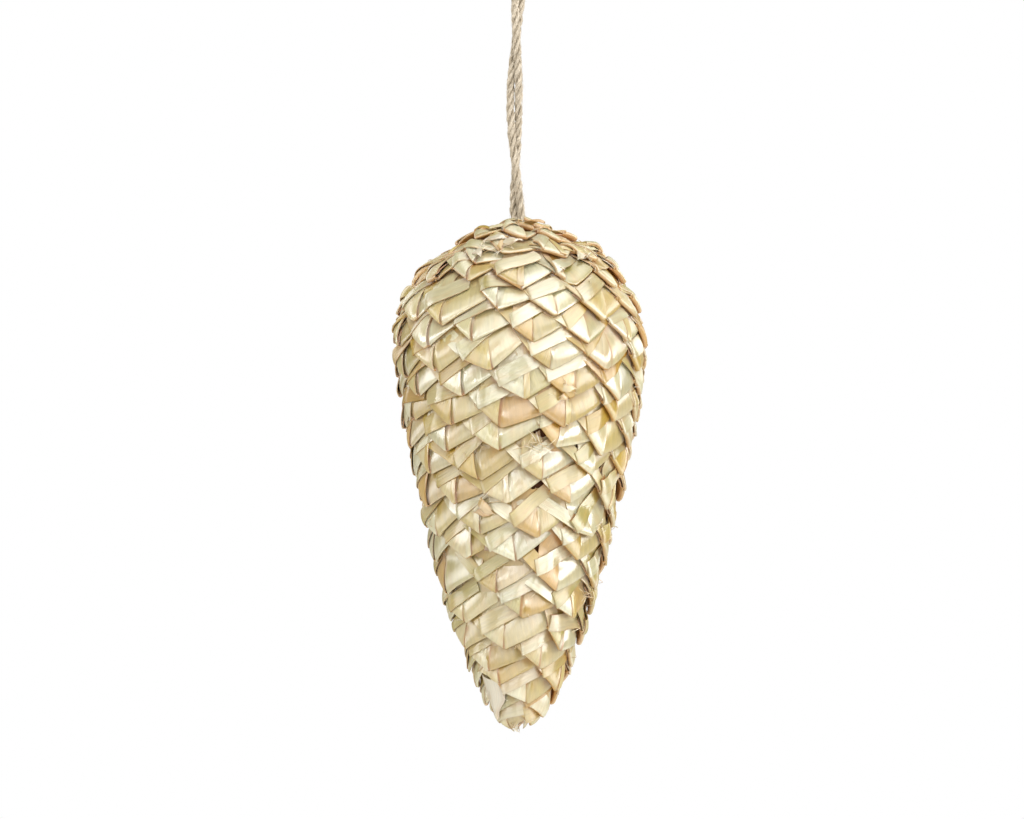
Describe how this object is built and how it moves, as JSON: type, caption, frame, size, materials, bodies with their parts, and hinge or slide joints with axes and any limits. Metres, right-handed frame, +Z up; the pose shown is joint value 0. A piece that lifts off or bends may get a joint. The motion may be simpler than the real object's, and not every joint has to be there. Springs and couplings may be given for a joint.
{
  "type": "hanging pine cone ornament",
  "caption": "Teardrop pine cone ornament covered with overlapping rows of folded palm-leaf scales, on a twisted loop of jute twine.",
  "frame": {"origin": "under the crown of the hanging loop, where a hook carries the ornament", "axes": "+Z up along the cone's length; the side that the picture shows faces -Y"},
  "size_m": [0.0886, 0.0892, 0.2924],
  "materials": {
    "palm_leaf": "dried palm leaf, pale straw, satin along the grain",
    "brown_form": "dark brown pressed fibre, matt",
    "jute_twine": "plied jute, hairy, matt"
  },
  "bodies": {
    "root": {"jute_loop": "jute_twine", "cone_form": "brown_form", "leaf_row_01": "palm_leaf", "leaf_row_02": "palm_leaf", "leaf_row_03": "palm_leaf", "leaf_row_04": "palm_leaf", "leaf_row_05": "palm_leaf", "leaf_row_06": "palm_leaf", "leaf_row_07": "palm_leaf", "leaf_row_08": "palm_leaf", "leaf_row_09": "palm_leaf", "leaf_row_10": "palm_leaf", "leaf_row_11": "palm_leaf", "leaf_row_12": "palm_leaf", "leaf_row_13": "palm_leaf", "leaf_row_14": "palm_leaf", "leaf_row_15": "palm_leaf", "leaf_row_16": "palm_leaf", "leaf_row_17": "palm_leaf", "leaf_row_18": "palm_leaf", "leaf_row_19": "palm_leaf", "leaf_row_20": "palm_leaf", "leaf_row_21": "palm_leaf", "leaf_row_22": "palm_leaf"}
  },
  "joints": []
}
